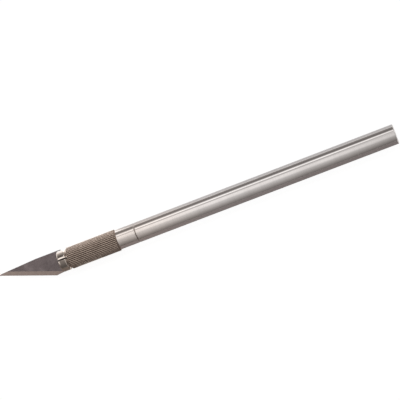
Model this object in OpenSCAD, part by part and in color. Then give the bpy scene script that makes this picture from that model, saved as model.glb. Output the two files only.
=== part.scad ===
// Craft scalpel: a pointed blade clamped by a split collet, which a knurled sleeve closes.
// The knife lies along X with its blade level, its tip towards -X and its butt towards +X.
// The origin is under the middle of the knife, on the surface that it lies on.

/* [Blade] */
// Tip of the blade to the front face of the collet
blade_reach = 25.6; // [20:0.1:30]
// Width of the blade from its spine to its heel
blade_width = 9.2; // [7.6:0.1:11]
// Thickness of the blade's sheet steel
blade_thickness = 0.6; // [0.4:0.05:0.8]
// Angle from the handle's axis to the cutting edge, in degrees
edge_angle = 20; // [17:0.5:26]
// Fall of the spine to the tip
spine_drop = 0.9; // [0.2:0.05:1.6]
// Length of spine that falls, measured from the tip
spine_run = 16.5; // [10:0.5:20]
// Angle by which the back edge leans in from the heel to the shoulder, in degrees
heel_relief = 7; // [0:0.5:12]
// Width of the ground bevel, measured square to the cutting edge
bevel_width = 1.65; // [1:0.05:2.5]
// Thickness left along the cutting edge
edge_land = 0.05; // [0.03:0.01:0.1]
// Radius on the two corners of the shoulder
shoulder_round = 1; // [0.4:0.1:1.4]
// Width of the tang that the collet holds
tang_width = 5.4; // [4.4:0.1:6.6]
// Width of the slot punched through the tang
tang_slot_width = 1.6; // [1:0.1:2.4]
// Length of the slot punched through the tang
tang_slot_length = 6; // [4:0.5:8]

/* [Collet] */
// Front face of the collet to the front face of the sleeve
nose_reach = 4.1; // [3.4:0.1:6]
// Height of the clamping cone above the sleeve's bore, on the radius
cone_overhang = 0.55; // [0.45:0.05:0.75]
// Height of the nose above the clamping cone, on the radius
nose_overhang = 0.45; // [0.1:0.05:0.5]
// Radius on the nose's front edge
nose_round = 0.8; // [0.3:0.05:1.2]
// Radius on the nose's back edge
nose_back_round = 0.5; // [0.5:0.05:1.4]
// Half angle of the clamping cone, in degrees
cone_angle = 11; // [8:0.5:15]
// Length of the clamping cone that shows in front of the sleeve
cone_lead = 0.7; // [0.5:0.1:1.4]
// Width of the saw cut that stands square to the blade
cross_slot = 0.5; // [0.3:0.05:0.8]
// Metal on the jaws beyond each edge of the tang
shank_margin = 0.15; // [0.1:0.05:0.4]
// Length of the round guide at the jaws' root, which the sleeve turns on
guide_length = 2.4; // [1.6:0.1:4]

/* [Sleeve] */
// Length of the knurled sleeve
sleeve_length = 20.9; // [17:0.1:26]
// Wall between the sleeve's bore and the roots of the knurl
sleeve_wall = 0.875; // [0.7:0.025:1.4]
// Number of straight ridges round the sleeve
knurl_count = 36; // [24:1:60]
// Height of the ridges
knurl_depth = 0.3; // [0.15:0.05:0.4]
// Chamfer on both ends of the sleeve
sleeve_chamfer = 0.35; // [0.1:0.05:0.5]

/* [Ferrule] */
// Length of the plain ring behind the sleeve
ferrule_length = 7.95; // [6:0.05:10]
// Diameter of the thread on the collet's tail
thread_d = 4; // [3:0.1:5]
// Pitch of that thread
thread_pitch = 0.7; // [0.5:0.05:0.8]
// Length of thread held in the ferrule
thread_length = 13; // [9:0.5:15]
// Turns by which the collet can still be drawn in
spare_turns = 2; // [1:0.5:3]
// Wall of the spigot around the thread
spigot_wall = 1; // [0.6:0.1:1.2]
// Length of the spigot inside the barrel
spigot_length = 9; // [7:0.5:14]
// Chamfer on each side of the joint between ferrule and barrel
joint_chamfer = 0.4; // [0.2:0.05:0.6]
// Chamfer on the ferrule's front edge and on the end of the thread
ferrule_chamfer = 0.2; // [0.1:0.05:0.4]

/* [Barrel] */
// Diameter of the barrel and of the ferrule's ring
barrel_d = 8; // [6.6:0.1:10]
// Length of the barrel
barrel_length = 108; // [80:0.1:140]
// Chamfer on the butt
butt_chamfer = 0.3; // [0.1:0.05:0.8]

/* [Fits] */
// Gap between each face of the blade and the jaws
blade_gap = 0.02; // [0.01:0.01:0.05]
// Gap on the radius where one part turns inside another
running_gap = 0.03; // [0.02:0.01:0.08]
// Gap between the cone and its seat, and between the sleeve and the ferrule
seat_gap = 0.05; // [0.03:0.01:0.1]
// Room on the radius in which the jaws spring open
jaw_room = 0.35; // [0.3:0.05:0.5]
// Gap at the root of each jaw, which bends there
flex_gap = 0.05; // [0.03:0.01:0.1]
// Sleeve's front face to the blade's shoulder
shoulder_gap = 1.7; // [0.5:0.1:2]
// Room behind the tang and behind the spigot
end_gap = 0.6; // [0.3:0.1:1.5]

/* [Hidden] */
$fn = 96;

// Radii, from the tang outwards
shank_r = tang_width / 2 + shank_margin;
bore_r = shank_r + jaw_room;
guide_r = bore_r - running_gap;
cone_r = bore_r + cone_overhang;
nose_r = cone_r + nose_overhang;
knurl_root_r = bore_r + sleeve_wall;
sleeve_r = knurl_root_r + knurl_depth;
barrel_r = barrel_d / 2;
thread_r = thread_d / 2;
thread_bore_r = thread_r + running_gap;
spigot_r = thread_bore_r + spigot_wall;

// Places along X, from the tip to the butt
overall_length = blade_reach + nose_reach + sleeve_length + seat_gap + ferrule_length + barrel_length;
tip_x = -overall_length / 2;
nose_x = tip_x + blade_reach;
sleeve_x = nose_x + nose_reach;
ferrule_x = sleeve_x + sleeve_length + seat_gap;
barrel_x = ferrule_x + ferrule_length;
guide_end_x = ferrule_x - spare_turns * thread_pitch;
root_x = guide_end_x - guide_length;
shoulder_x = sleeve_x - shoulder_gap;
tang_end_x = root_x - end_gap;
axis_z = max(sleeve_r, barrel_r);

// Clamping cone on the jaws, and its seat in the sleeve's mouth
cone_slope = tan(cone_angle);
cone_start = nose_reach - cone_lead;
cone_end = cone_start + (cone_r - shank_r) / cone_slope;
mouth_r = cone_r - cone_lead * cone_slope + seat_gap / cos(cone_angle);
mouth_depth = (mouth_r - bore_r) / cone_slope;

// Blade
blade_slot = blade_thickness / 2 + blade_gap;
tip_y = blade_width / 2 - spine_drop;
heel_x = tip_x + (tip_y + blade_width / 2) / tan(edge_angle);
bevel_slope = (blade_thickness - edge_land) / 2 / bevel_width;

// Share of each ridge's pitch taken by its crest and by the root beside it
crest_share = 0.34;
root_share = 0.22;

// How far a cutting shape runs past what it cuts
over = 1;

aluminium = [0.80, 0.78, 0.76];
knurled_metal = [0.50, 0.45, 0.41];
plated_steel = [0.72, 0.69, 0.65];
blade_steel = [0.42, 0.39, 0.38];

// Turns a shape that stands on Z into one that lies on the knife's axis and starts at x
module along_axis(x) {
    translate([x, 0, axis_z]) rotate([0, 90, 0]) children();
}

// Solid bar with a chamfered butt and a blind socket for the ferrule's spigot
module handle_barrel() {
    socket_depth = spigot_length + end_gap;
    color(aluminium) along_axis(barrel_x) rotate_extrude() polygon([
        [spigot_r, 0],
        [barrel_r - joint_chamfer, 0],
        [barrel_r, joint_chamfer],
        [barrel_r, barrel_length - butt_chamfer],
        [barrel_r - butt_chamfer, barrel_length],
        [0, barrel_length],
        [0, socket_depth],
        [spigot_r, socket_depth]
    ]);
}

// Plain ring with a spigot pressed into the barrel, threaded right through for the collet
module threaded_ferrule() {
    spigot_end = ferrule_length + spigot_length;
    color(aluminium) along_axis(ferrule_x) rotate_extrude() polygon([
        [thread_bore_r, 0],
        [barrel_r - ferrule_chamfer, 0],
        [barrel_r, ferrule_chamfer],
        [barrel_r, ferrule_length - joint_chamfer],
        [barrel_r - joint_chamfer, ferrule_length],
        [spigot_r, ferrule_length],
        [spigot_r, spigot_end],
        [thread_bore_r, spigot_end]
    ]);
}

// One corner of the knurl, at a share of the pitch from the middle of ridge i
function knurl_corner(i, share, r) =
    let (angle = (i + share) * 360 / knurl_count) [r * cos(angle), r * sin(angle)];

// Straight ridges with flat crests and flat roots
function knurl_outline() = [
    for (i = [0 : knurl_count - 1], corner = [
        [-crest_share / 2, sleeve_r],
        [crest_share / 2, sleeve_r],
        [0.5 - root_share / 2, knurl_root_r],
        [0.5 + root_share / 2, knurl_root_r]
    ]) knurl_corner(i, corner[0], corner[1])
];

// Knurled tube with a bore for the jaws and a conical mouth that closes them
module knurled_sleeve() {
    color(knurled_metal) along_axis(sleeve_x) difference() {
        intersection() {
            linear_extrude(sleeve_length) polygon(knurl_outline());
            rotate_extrude() polygon([
                [0, 0],
                [sleeve_r - sleeve_chamfer, 0],
                [sleeve_r + over, sleeve_chamfer + over],
                [sleeve_r + over, sleeve_length - sleeve_chamfer - over],
                [sleeve_r - sleeve_chamfer, sleeve_length],
                [0, sleeve_length]
            ]);
        }
        rotate_extrude() polygon([
            [0, -over],
            [mouth_r + over * cone_slope, -over],
            [bore_r, mouth_depth],
            [bore_r, sleeve_length + over],
            [0, sleeve_length + over]
        ]);
    }
}

// Root of the collet: the guide that the sleeve turns on, and the threaded tail
module collet_stem() {
    guide_end = guide_end_x - root_x;
    tail_end = ferrule_x + thread_length - root_x;
    color(plated_steel) along_axis(root_x) rotate_extrude() polygon([
        [0, 0],
        [guide_r, 0],
        [guide_r, guide_end],
        [thread_r, guide_end],
        [thread_r, tail_end - ferrule_chamfer],
        [thread_r - ferrule_chamfer, tail_end],
        [0, tail_end]
    ]);
}

// Half section of the jaws: rounded nose, clamping cone and slim shank
module jaw_section() {
    jaw_end = root_x - flex_gap - nose_x;
    back_r = nose_r - nose_back_round;
    back_start = cone_start - sqrt(pow(nose_back_round, 2) - pow(cone_r - back_r, 2));
    polygon([
        [0, 0],
        [nose_r - nose_round, 0],
        [nose_r, nose_round],
        [nose_r, back_start],
        [cone_r + (cone_start - back_start) * cone_slope, back_start],
        [shank_r, cone_end],
        [shank_r, jaw_end],
        [0, jaw_end]
    ]);
    translate([nose_r - nose_round, nose_round]) circle(nose_round);
    translate([back_r, back_start]) circle(nose_back_round);
}

// Start of a jaw's block on its own side of a saw cut of the given half width
function jaw_side(side, half_cut) = side > 0 ? half_cut : -half_cut - nose_r;

// One of the four jaws: side 1 is the spine's side or the top, side -1 the edge's side or the bottom
module jaw(spine_side, top_side) {
    color(plated_steel) intersection() {
        along_axis(nose_x) rotate_extrude() jaw_section();
        translate([
            nose_x - over,
            jaw_side(spine_side, cross_slot / 2),
            axis_z + jaw_side(top_side, blade_slot)
        ]) cube([root_x - nose_x + 2 * over, nose_r, nose_r]);
    }
}

module top_spine_jaw() { jaw(1, 1); }
module top_edge_jaw() { jaw(-1, 1); }
module bottom_spine_jaw() { jaw(1, -1); }
module bottom_edge_jaw() { jaw(-1, -1); }

// Starts at the tip and turns X along the cutting edge, with Y into the blade
module on_edge() {
    translate([tip_x, tip_y]) rotate(-edge_angle) children();
}

// Height of the back edge at x, on a line through the heel
function back_edge_y(x) = (x - heel_x) * tan(heel_relief) - blade_width / 2;

// Full width of the blade back to its rounded shoulder
module blade_body() {
    corner_x = shoulder_x - shoulder_round;
    spine_corner_y = blade_width / 2 - shoulder_round;
    back_corner_y = back_edge_y(corner_x) + shoulder_round;
    polygon([
        [tip_x, back_edge_y(tip_x)],
        [corner_x, back_edge_y(corner_x)],
        [corner_x, back_corner_y],
        [shoulder_x, back_corner_y],
        [shoulder_x, spine_corner_y],
        [corner_x, spine_corner_y],
        [corner_x, blade_width / 2],
        [tip_x, blade_width / 2]
    ]);
    for (y = [spine_corner_y, back_corner_y]) translate([corner_x, y]) circle(shoulder_round);
}

// Slot with round ends in the middle of the tang
module tang_slot() {
    middle_x = (shoulder_x + tang_end_x) / 2;
    half_run = (tang_slot_length - tang_slot_width) / 2;
    translate([middle_x - half_run, -tang_slot_width / 2]) square([2 * half_run, tang_slot_width]);
    for (side = [-1, 1])
        translate([middle_x + side * half_run, 0]) circle(tang_slot_width / 2);
}

// Outline of the blade, cut to its slanted edge and its falling spine
module blade_outline() {
    difference() {
        union() {
            blade_body();
            translate([shoulder_x - over, -tang_width / 2])
                square([tang_end_x - shoulder_x + over, tang_width]);
        }
        on_edge() translate([-over, -2 * blade_width])
            square([2 * blade_reach, 2 * blade_width]);
        polygon([
            [tip_x - over, tip_y],
            [tip_x, tip_y],
            [tip_x + spine_run, blade_width / 2],
            [tip_x + spine_run, blade_width / 2 + over],
            [tip_x - over, blade_width / 2 + over]
        ]);
        tang_slot();
    }
}

// Metal ground off one face along the cutting edge, on the side that +Z points to
module bevel_cut() {
    low_z = edge_land / 2 - bevel_slope * over;
    high_z = blade_thickness / 2 + bevel_slope * over;
    on_edge() rotate([90, 0, 90]) translate([0, 0, -over]) linear_extrude(2 * blade_reach)
        polygon([[-over, low_z], [bevel_width + over, high_z], [-over, high_z]]);
}

// Pointed blade, bevelled on both faces, with a slotted tang
module blade() {
    color(blade_steel) translate([0, 0, axis_z]) difference() {
        translate([0, 0, -blade_thickness / 2]) linear_extrude(blade_thickness) blade_outline();
        bevel_cut();
        mirror([0, 0, 1]) bevel_cut();
    }
}

handle_barrel();
threaded_ferrule();
knurled_sleeve();
collet_stem();
top_spine_jaw();
top_edge_jaw();
bottom_spine_jaw();
bottom_edge_jaw();
blade();
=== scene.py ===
"""Looks of a craft scalpel: blade, split collet, ridged sleeve, plain ferrule and turned barrel."""

import math

import bmesh
import bpy
from mathutils import Matrix, Vector


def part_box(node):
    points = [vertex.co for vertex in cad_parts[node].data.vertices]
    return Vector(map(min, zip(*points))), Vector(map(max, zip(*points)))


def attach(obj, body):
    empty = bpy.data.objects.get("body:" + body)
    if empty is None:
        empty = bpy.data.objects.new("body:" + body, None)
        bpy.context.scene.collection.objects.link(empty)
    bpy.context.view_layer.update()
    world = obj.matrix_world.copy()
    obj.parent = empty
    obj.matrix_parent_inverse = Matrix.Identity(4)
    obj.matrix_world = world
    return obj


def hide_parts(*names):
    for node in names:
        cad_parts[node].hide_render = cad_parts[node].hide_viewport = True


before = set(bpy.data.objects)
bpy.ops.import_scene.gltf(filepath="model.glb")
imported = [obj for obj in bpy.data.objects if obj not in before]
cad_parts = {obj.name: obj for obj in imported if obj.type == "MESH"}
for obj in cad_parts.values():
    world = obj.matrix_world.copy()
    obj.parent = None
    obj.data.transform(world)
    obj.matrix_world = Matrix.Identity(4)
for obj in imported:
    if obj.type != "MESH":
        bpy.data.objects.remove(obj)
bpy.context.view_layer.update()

bl_info = {
    "name": "Craft scalpel",
    "version": (1, 0, 0),
    "blender": (4, 5, 0),
    "location": "3D View > Sidebar > Craft scalpel",
    "description": "Models and finishes a craft scalpel around its packed frame",
    "category": "Add Mesh",
}

MM = 0.001

# Places that the frame gives, in metres
BARREL_LOW, BARREL_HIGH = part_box("handle_barrel")
FERRULE_LOW, FERRULE_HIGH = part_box("threaded_ferrule")
SLEEVE_LOW, SLEEVE_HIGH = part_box("knurled_sleeve")
STEM_LOW, STEM_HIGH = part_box("collet_stem")
JAW_LOW, JAW_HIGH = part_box("top_spine_jaw")
BLADE_LOW, BLADE_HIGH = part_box("blade")

AXIS_Z = (BLADE_LOW.z + BLADE_HIGH.z) / 2
BARREL_RADIUS = AXIS_Z - BARREL_LOW.z
SLEEVE_RADIUS = AXIS_Z - SLEEVE_LOW.z
GUIDE_RADIUS = AXIS_Z - STEM_LOW.z
BLADE_HALF = (BLADE_HIGH.z - BLADE_LOW.z) / 2

# Points closer than this are one point
MERGE_DISTANCE = 0.000001
# Points closer than this to a cutting plane lie in it
CUT_DISTANCE = MERGE_DISTANCE / 10
# Points closer than this to a place count as being there
NEAR = MERGE_DISTANCE * 10
# The first facet of the blade's round shoulder drops by no more than this
FIRST_FACET = 0.02 * MM
# A normal with this much of a direction faces that way
FACING = 0.99
# How closely a normal has to match the bevel's slope
BEVEL_MATCH = 0.003

# Points round a turned piece, round a thread and round one ridge
TURNED_POINTS = 128
THREAD_POINTS = 64
RIDGE_POINTS = 8
# Rings in one turn of a thread
THREAD_RINGS = 12
# Steps in the nose's front rounding, in other roundings and in a broken edge
NOSE_STEPS = 10
ROUND_STEPS = 8
EDGE_STEPS = 2

# Edges that bend by more than this stay sharp in the shading, in degrees
TURNED_CREASE = 30
RIDGE_CREASE = 52
BLADE_CREASE = 5
# Edges of a turned piece and of a sawn jaw that bend by more than this are rounded, in degrees
SOFTEN_LIMIT = 25
JAW_SOFTEN_LIMIT = 35

# The jaws that are copies of the first, by side and row, with the flip that makes them
JAW_FLIPS = (
    ("top", "edge", (1, -1, 1)),
    ("bottom", "spine", (1, 1, -1)),
    ("bottom", "edge", (1, -1, -1)),
)


def length(name, description, millimetres):
    """A length that a user can change, with its default in millimetres."""
    return bpy.props.FloatProperty(
        name=name, description=description, default=millimetres * MM, min=0,
        precision=5, subtype="DISTANCE", unit="LENGTH",
    )


def angle(name, description, degrees):
    """An angle that a user can change, with its default in degrees."""
    return bpy.props.FloatProperty(
        name=name, description=description, default=math.radians(degrees),
        subtype="ANGLE", unit="ROTATION",
    )


def share(name, description, default, top=1.0):
    """A plain number that a user can change."""
    return bpy.props.FloatProperty(
        name=name, description=description, default=default, min=0, max=top, subtype="FACTOR",
    )


def colour(name, description, default):
    """A colour that a user can change, in linear light."""
    return bpy.props.FloatVectorProperty(
        name=name, description=description, default=default, size=3, min=0, max=1, subtype="COLOR",
    )


class HandleSizes(bpy.types.PropertyGroup):
    """Sizes of the barrel and of the ferrule in front of it."""

    spigot_radius: length("Spigot radius", "Radius of the ferrule's spigot and of its socket", 3.03)
    socket_depth: length("Socket depth", "Depth of the blind socket in the barrel", 9.6)
    joint_chamfer: length("Joint chamfer", "Chamfer on each side of the joint line", 0.22)
    butt_chamfer: length("Butt chamfer", "Chamfer round the butt", 0.3)
    front_chamfer: length("Front chamfer", "Chamfer on the ferrule's front edge", 0.2)
    edge_break: length("Edge break", "Rounding left on each turned corner", 0.06)
    support: length("Support", "Distance of the first plain ring from a corner", 0.1)


class ThreadSizes(bpy.types.PropertyGroup):
    """Sizes of the thread between collet and ferrule."""

    pitch: length("Pitch", "Advance in one turn", 0.7)
    crest_radius: length("Crest radius", "Outer radius of the thread on the tail", 2.0)
    depth: length("Depth", "Height of the thread", 0.4)
    clearance: length("Clearance", "Gap between the tail and the tapped hole", 0.03)
    lead_in: length("Lead in", "Chamfer at the ends of a thread", 0.2)


class SleeveSizes(bpy.types.PropertyGroup):
    """Sizes of the ridged sleeve."""

    ridges: bpy.props.IntProperty(
        name="Ridges", description="Straight ridges round the sleeve", default=36, min=12,
    )
    ridge_depth: length("Ridge depth", "Height of the ridges", 0.3)
    crest_share: share("Crest share", "Share of the pitch that a crest takes", 0.34)
    root_share: share("Root share", "Share of the pitch that a root takes", 0.22)
    end_chamfer: length("End chamfer", "Chamfer on both ends", 0.35)
    bore_radius: length("Bore radius", "Radius of the bore that the jaws lie in", 3.2)
    mouth_radius: length("Mouth radius", "Radius of the conical mouth at the front", 3.665)
    mouth_depth: length("Mouth depth", "Depth of the conical mouth", 2.392)
    support: length("Support", "Distance of the first plain ring from a chamfer", 0.1)


class ColletSizes(bpy.types.PropertyGroup):
    """Sizes of the collet's stem and of its four jaws."""

    guide_length: length("Guide length", "Round guide at the root of the jaws", 2.4)
    nose_radius: length("Nose radius", "Radius of the polished nose", 4.3)
    nose_round: length("Nose round", "Rounding of the nose's front edge", 0.8)
    nose_back_round: length("Nose back round", "Rounding of the nose's back edge", 0.65)
    cone_radius: length("Cone radius", "Radius where the cone starts", 3.682)
    cone_start: length("Cone start", "Front of the nose to the start of the cone", 3.75)
    cone_end: length("Cone end", "Front of the nose to the end of the cone", 8.03)
    shank_radius: length("Shank radius", "Radius of the jaws behind the cone", 2.85)
    edge_break: length("Edge break", "Rounding on the edges of the saw cuts", 0.07)
    support: length("Support", "Distance of the first plain ring from a rounding", 0.1)


class BladeSizes(bpy.types.PropertyGroup):
    """Sizes of the blade."""

    edge_angle: angle("Edge angle", "From the knife's axis to the cutting edge", 20)
    spine_drop: length("Spine drop", "Fall of the spine to the tip", 0.9)
    spine_run: length("Spine run", "Length of spine that falls, from the tip", 16.5)
    heel_relief: angle("Heel relief", "Lean of the back edge from the heel to the shoulder", 7)
    bevel_width: length("Bevel width", "Width of the ground bevel, square to the edge", 1.65)
    edge_land: length("Edge land", "Thickness left along the cutting edge", 0.05)
    shoulder_gap: length("Shoulder gap", "From the sleeve's front to the blade's shoulder", 1.7)
    shoulder_round: length("Shoulder round", "Radius on the corners of the shoulder", 1.0)
    tang_width: length("Tang width", "Width of the tang that the jaws hold", 5.4)
    slot_width: length("Slot width", "Width of the slot in the tang", 1.6)
    slot_length: length("Slot length", "Length of the slot in the tang", 6.0)
    slot_flat: share("Slot flat", "Share of the slot's end that stays flat", 0.005)
    spine_break: length("Spine break", "Rounding on the edges of the spine", 0.05)
    sharp_tip: length("Sharp tip", "Length of spine at the tip that isn't rounded", 1.0)


class KnifeColours(bpy.types.PropertyGroup):
    """Colours of the finishes."""

    aluminium: colour("Aluminium", "Turned barrel and ferrule", (0.70, 0.662, 0.643))
    aluminium_front: colour("Aluminium front", "Warmer metal near the grip", (0.755, 0.68, 0.632))
    # Grime, which also paints shade into the collet's saw cuts and where the blade goes into the jaws
    grime_and_shade: colour("Grime", "Dirt in grooves and cuts", (0.10, 0.085, 0.075))
    ridge_crest: colour("Ridge crest", "Rubbed tops of the ridges", (0.73, 0.58, 0.478))
    ridge_root: colour("Ridge root", "Dull metal between the ridges", (0.285, 0.214, 0.178))
    # Painted shade: the roots take this darker colour towards the cutting edge's side, which lies in shade
    ridge_root_shade: colour("Ridge dirt", "Metal where dirt is packed between the ridges", (0.118, 0.088, 0.077))
    plating: colour("Plating", "Polished plating on the collet", (0.81, 0.71, 0.63))
    rolled_steel: colour("Rolled steel", "Dark faces of the blade", (0.297, 0.246, 0.246))
    # The darker bands also carry a painted reflection that darkens the blade towards the cutting edge and
    # the heel
    rolled_steel_dark: colour("Rolled steel dark", "Darker bands on the blade", (0.217, 0.18, 0.179))
    ground_steel: colour("Ground steel", "Bevel ground along the edge", (0.46, 0.362, 0.317))
    room: colour("Room", "Tint of the room's dim parts", (1.0, 0.95, 0.93))
    floor: colour("Floor", "Pale floor under the knife", (0.8, 0.8, 0.8))
    # The grey, dark and brown cards on the cutting edge's side, and the pale card on the spine's side, are
    # painted shade: darker than the floor, they stand in for the knife's shade on the floor beside it, where
    # the metal reflects it
    grey_card: colour("Grey card", "Card on the cutting edge's side of the handle", (0.62, 0.57, 0.57))
    dark_card: colour("Dark card", "Card on the cutting edge's side of the sleeve", (0.14, 0.12, 0.11))
    brown_card: colour("Brown card", "Card on the cutting edge's side of the nose", (0.40, 0.35, 0.32))
    pale_card: colour("Pale card", "Card on the spine's side of the handle", (0.765, 0.77, 0.785))
    bright_card: colour("Bright card", "Card on the spine's side of the nose and sleeve", (0.84, 0.88, 0.92))


class StageSettings(bpy.types.PropertyGroup):
    """Camera and light."""

    distance: length("Distance", "Camera to the point that it looks at", 650)
    lens: bpy.props.FloatProperty(name="Lens", description="Focal length", default=149.7, unit="CAMERA")
    lean_to_butt: angle("Lean to butt", "Lean of the camera from upright to the butt", 7.19)
    lean_to_edge: angle("Lean to edge", "Lean of the camera from upright to the cutting edge", 9)
    roll: angle("Roll", "Turn of the picture", 20.93)
    aim_x: length("Aim X", "Point looked at, along the knife", 3.165)
    aim_y: length("Aim Y", "Point looked at, across the knife", 3.155)
    floor_size: length("Floor size", "Side of the floor", 16000)
    room: share("Room", "Brightness of the room around the handle", 0.22, 4)
    overhead: share("Overhead", "Brightness of the large light over the handle", 0.65, 4)
    centre: share("Centre", "Extra brightness in the middle of the large light", 0.3, 4)
    strip: share("Strip", "Extra brightness of the strip at the large light's edge", 0.62, 4)
    gap: share("Gap", "Brightness missing between the strip and the middle of the large light", 0.27, 4)
    side: share("Side", "Extra brightness low on the spine's side of the handle", 0.16, 4)
    front_room: share("Front room", "Brightness of the room around the blade", 0.1, 4)
    front_strip: share("Front strip", "Brightness of the strip that the collet shows", 1.12, 4)
    front_centre: share("Front centre", "Extra brightness over the collet", 0.13, 4)
    front_side: share("Front side", "Brightness low on the spine's side of the collet", 0.38, 4)
    front_low: share("Front low", "Brightness beyond the tip, which the ground bevel shows", 0.5, 4)
    floor_glow: share("Floor glow", "Own light of the floor in the picture and in reflections", 1.3, 4)
    floor_share: share("Floor share", "How much of the floor's shade its own light hides", 0.7)


PROPERTY_GROUPS = {
    "scalpel_handle": HandleSizes,
    "scalpel_thread": ThreadSizes,
    "scalpel_sleeve": SleeveSizes,
    "scalpel_collet": ColletSizes,
    "scalpel_blade": BladeSizes,
    "scalpel_colours": KnifeColours,
    "scalpel_stage": StageSettings,
}


# Modelling helpers

def deselect_all():
    """Leaves edit mode and selects nothing."""
    if bpy.context.mode != "OBJECT":
        bpy.ops.object.mode_set(mode="OBJECT")
    bpy.ops.object.select_all(action="DESELECT")


def open_piece(name):
    """Names the new primitive, puts its place in its mesh and opens it in edit mode, all selected."""
    piece = bpy.context.object
    piece.name = name
    piece.data.name = name
    bpy.ops.object.transform_apply(location=True, rotation=True, scale=True)
    bpy.ops.object.mode_set(mode="EDIT")
    bpy.ops.mesh.select_all(action="SELECT")
    return piece


def start_ring(name, x, radius, segments, filled):
    """Adds a ring on the knife's axis, with or without a face in it."""
    deselect_all()
    bpy.ops.mesh.primitive_circle_add(
        vertices=segments, radius=radius, fill_type="NGON" if filled else "NOTHING",
        location=(x, 0, AXIS_Z), rotation=(0, math.pi / 2, 0),
    )
    return open_piece(name)


def extrude_ring(x, radius, middle_y=0.0, middle_z=0.0):
    """Extrudes the selected ring to a new place, radius and middle, which is given from the axis."""
    mesh = bmesh.from_edit_mesh(bpy.context.edit_object.data)
    points = [vert.co.copy() for vert in mesh.verts if vert.select]
    middle = sum(points, Vector()) / len(points)
    scale = radius / (points[0] - middle).length
    target = Vector((x, middle_y, AXIS_Z + middle_z))
    bpy.ops.mesh.extrude_region_move(TRANSFORM_OT_translate={"value": target - middle})
    bpy.ops.transform.resize(value=(1, scale, scale), center_override=target)


def extrude_rings(stations):
    """Extrudes the selected ring through stations of place and radius."""
    for x, radius in stations:
        extrude_ring(x, radius)


def select_parts(kind, test):
    """Selects the points, edges or faces that pass a test, and nothing else.

    The test is given a point's place, the places of an edge's ends, or a face's middle and normal.
    """
    bpy.ops.mesh.select_mode(type=kind)
    bpy.ops.mesh.select_all(action="DESELECT")
    mesh = bmesh.from_edit_mesh(bpy.context.edit_object.data)
    mesh.normal_update()
    if kind == "VERT":
        parts = [(vert, (vert.co,)) for vert in mesh.verts]
    elif kind == "EDGE":
        parts = [(edge, tuple(vert.co for vert in edge.verts)) for edge in mesh.edges]
    else:
        parts = [(face, (face.calc_center_median(), face.normal)) for face in mesh.faces]
    for part, places in parts:
        part.select_set(test(*places))
    mesh.select_flush_mode()
    bmesh.update_edit_mesh(bpy.context.edit_object.data)


def select_ring(x):
    """Selects the ring of points at a place on the axis."""
    select_parts("VERT", lambda co: abs(co.x - x) < NEAR)


def slice_off(point, normal):
    """Cuts off everything on the side that the normal points to, and closes the cut."""
    bpy.ops.mesh.select_all(action="SELECT")
    bpy.ops.mesh.bisect(
        plane_co=point, plane_no=Vector(normal).normalized(), use_fill=True, clear_outer=True,
        threshold=CUT_DISTANCE,
    )


def score(point, normal):
    """Cuts a line all round the piece and removes nothing."""
    bpy.ops.mesh.select_all(action="SELECT")
    bpy.ops.mesh.bisect(plane_co=point, plane_no=Vector(normal).normalized(), threshold=CUT_DISTANCE)


def close_piece():
    """Merges doubled points, turns the faces outwards and leaves edit mode."""
    bpy.ops.mesh.select_mode(type="VERT")
    bpy.ops.mesh.select_all(action="SELECT")
    bpy.ops.mesh.remove_doubles(threshold=MERGE_DISTANCE)
    bpy.ops.mesh.normals_make_consistent(inside=False)
    bpy.ops.object.mode_set(mode="OBJECT")


def soften_edges(piece, width, limit=SOFTEN_LIMIT):
    """Rounds the edges sharper than the limit in degrees with a bevel, and applies it."""
    modifier = piece.modifiers.new("Softened edges", "BEVEL")
    modifier.width = width
    modifier.segments = EDGE_STEPS
    modifier.limit_method = "ANGLE"
    modifier.angle_limit = math.radians(limit)
    bpy.ops.object.modifier_apply(modifier=modifier.name)


def shade(limit):
    """Shades the selected piece smooth, apart from edges sharper than the limit in degrees."""
    bpy.ops.object.shade_smooth_by_angle(angle=math.radians(limit))


def rounded_corner(x, radius, size, steps):
    """Stations of a quarter round from the flat front of a turned piece to its side."""
    turns = [math.radians(90) * step / steps for step in range(steps + 1)]
    return [(x + size * (1 - math.cos(turn)), radius - size * (1 - math.sin(turn))) for turn in turns]


def thread_tube(name, x_low, x_high, radius, wobble, pitch):
    """Makes a threaded tube: a ring whose middle circles the axis, once for each pitch.

    One turn is modelled and an array repeats it. Returns the piece, in edit mode, and where the tube ends.
    """
    piece = start_ring(name, x_low, radius, THREAD_POINTS, False)
    bpy.ops.transform.translate(value=(0, wobble, 0))
    for step in range(1, THREAD_RINGS + 1):
        turn = math.tau * step / THREAD_RINGS
        place = x_low + pitch * step / THREAD_RINGS
        extrude_ring(place, radius, wobble * math.cos(turn), wobble * math.sin(turn))
    bpy.ops.object.mode_set(mode="OBJECT")
    turns = int((x_high - x_low) / pitch)
    modifier = piece.modifiers.new("Turns", "ARRAY")
    modifier.count = turns
    modifier.use_relative_offset = False
    modifier.use_constant_offset = True
    modifier.constant_offset_displace = (pitch, 0, 0)
    modifier.use_merge_vertices = True
    modifier.merge_threshold = MERGE_DISTANCE
    bpy.ops.object.modifier_apply(modifier=modifier.name)
    bpy.ops.object.mode_set(mode="EDIT")
    return piece, x_low + turns * pitch


# Shader helpers

def add_node(tree, kind, inputs=None, **settings):
    """Adds a node with its settings, and sets or links its inputs."""
    node = tree.nodes.new(kind)
    for name, value in settings.items():
        setattr(node, name, value)
    for name, value in (inputs or {}).items():
        if isinstance(value, bpy.types.NodeSocket):
            tree.links.new(value, node.inputs[name])
        else:
            node.inputs[name].default_value = value
    return node


def maths(tree, operation, first, second=0.0, clamp=False):
    """Adds a Math node and returns its result."""
    node = add_node(tree, "ShaderNodeMath", {0: first, 1: second}, operation=operation, use_clamp=clamp)
    return node.outputs[0]


def times(tree, first, second):
    """Multiplies two values."""
    return maths(tree, "MULTIPLY", first, second)


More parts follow.
